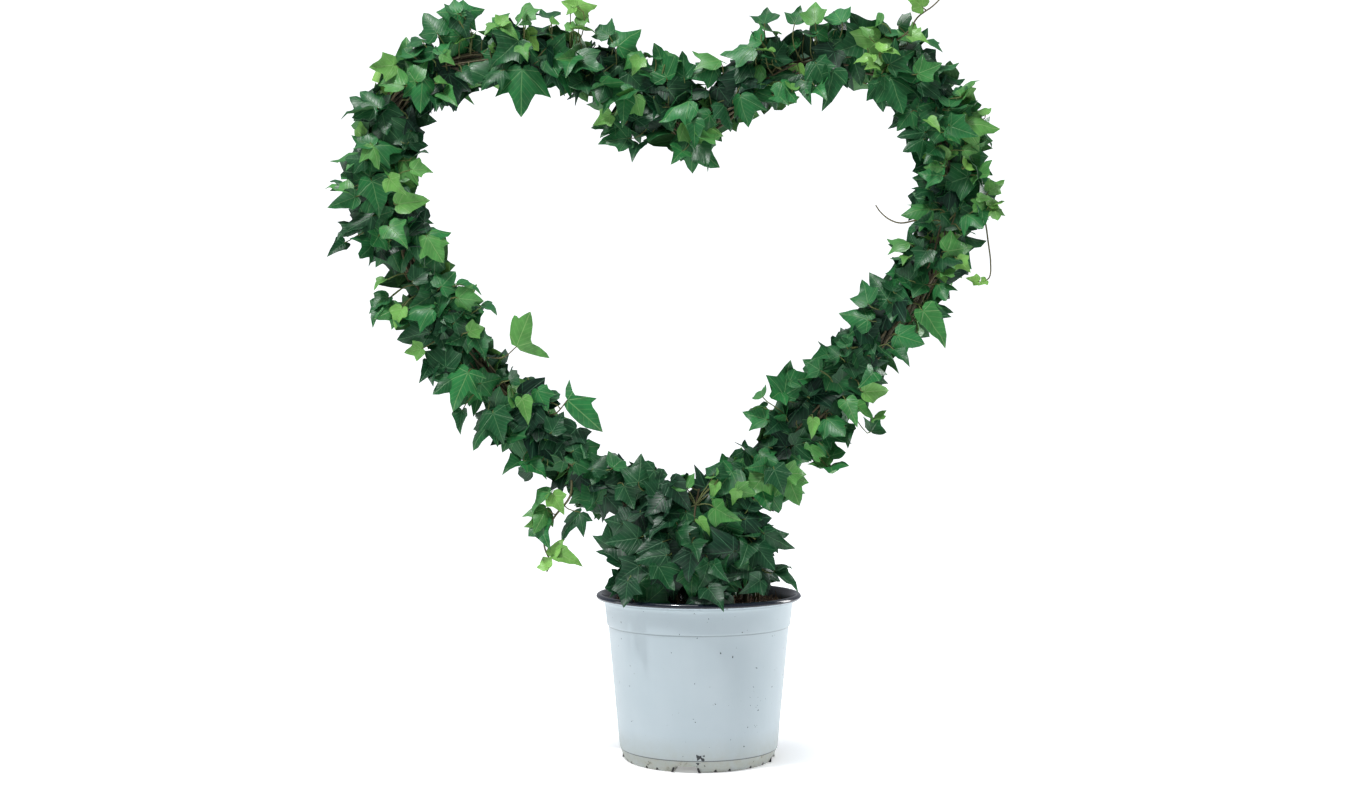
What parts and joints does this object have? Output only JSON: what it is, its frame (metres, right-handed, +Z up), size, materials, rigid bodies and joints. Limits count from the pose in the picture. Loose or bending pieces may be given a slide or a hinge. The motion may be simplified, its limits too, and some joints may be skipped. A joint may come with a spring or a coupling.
{
  "type": "potted english ivy",
  "caption": "English ivy trained round a heart-shaped wire hoop, growing in a round plastic nursery pot of compost.",
  "frame": {"origin": "middle of the pot's flat underside, where it stands on the floor", "axes": "+Z up, -Y towards the viewer who sees the heart from the front, +X to that viewer's right"},
  "size_m": [0.5624, 0.1708, 0.642],
  "materials": {
    "pot_plastic": "satin injection-moulded polypropylene, blue-white outside and black inside",
    "compost_mix": "damp peaty compost with pale bits",
    "coated_wire": "dark green coated wire",
    "vine_bark": "brown, partly reddish young bark",
    "ivy_leaf": "leathery deep green leaf with paler veins",
    "young_leaf": "soft bright green young leaf"
  },
  "bodies": {
    "root": {"pot": "pot_plastic", "compost": "compost_mix", "heart_hoop": "coated_wire", "vine_left_1": "vine_bark", "vine_left_2": "vine_bark", "vine_left_3": "vine_bark", "vine_left_4": "vine_bark", "vine_right_1": "vine_bark", "vine_right_2": "vine_bark", "vine_right_3": "vine_bark", "vine_right_4": "vine_bark", "hanging_shoot_left": "young_leaf", "bare_runner_right": "young_leaf", "hanging_runner_right": "young_leaf", "top_shoot_right": "young_leaf", "inner_leaf_left_upper": "young_leaf", "inner_leaf_left_lower": "young_leaf", "mound_shoot_1": "ivy_leaf", "mound_shoot_2": "ivy_leaf", "mound_shoot_3": "ivy_leaf", "mound_shoot_4": "ivy_leaf", "mound_shoot_5": "ivy_leaf", "mound_shoot_6": "ivy_leaf", "shoot_left_01": "ivy_leaf", "shoot_left_02": "ivy_leaf", "shoot_left_03": "ivy_leaf", "shoot_left_04": "ivy_leaf", "shoot_left_05": "ivy_leaf", "shoot_left_06": "ivy_leaf", "shoot_left_07": "ivy_leaf", "shoot_left_08": "ivy_leaf", "shoot_left_09": "ivy_leaf", "shoot_left_10": "ivy_leaf", "shoot_left_11": "ivy_leaf", "shoot_left_12": "ivy_leaf", "shoot_left_13": "ivy_leaf", "shoot_left_14": "ivy_leaf", "shoot_left_15": "ivy_leaf", "shoot_left_16": "ivy_leaf", "shoot_left_17": "ivy_leaf", "shoot_left_18": "ivy_leaf", "shoot_right_01": "ivy_leaf", "shoot_right_02": "ivy_leaf", "shoot_right_03": "ivy_leaf", "shoot_right_04": "ivy_leaf", "shoot_right_05": "ivy_leaf", "shoot_right_06": "ivy_leaf", "shoot_right_07": "ivy_leaf", "shoot_right_08": "ivy_leaf", "shoot_right_09": "ivy_leaf", "shoot_right_10": "ivy_leaf", "shoot_right_11": "ivy_leaf", "shoot_right_12": "ivy_leaf", "shoot_right_13": "ivy_leaf", "shoot_right_14": "ivy_leaf", "shoot_right_15": "ivy_leaf", "shoot_right_16": "ivy_leaf", "shoot_right_17": "ivy_leaf", "shoot_right_18": "ivy_leaf"}
  },
  "joints": []
}
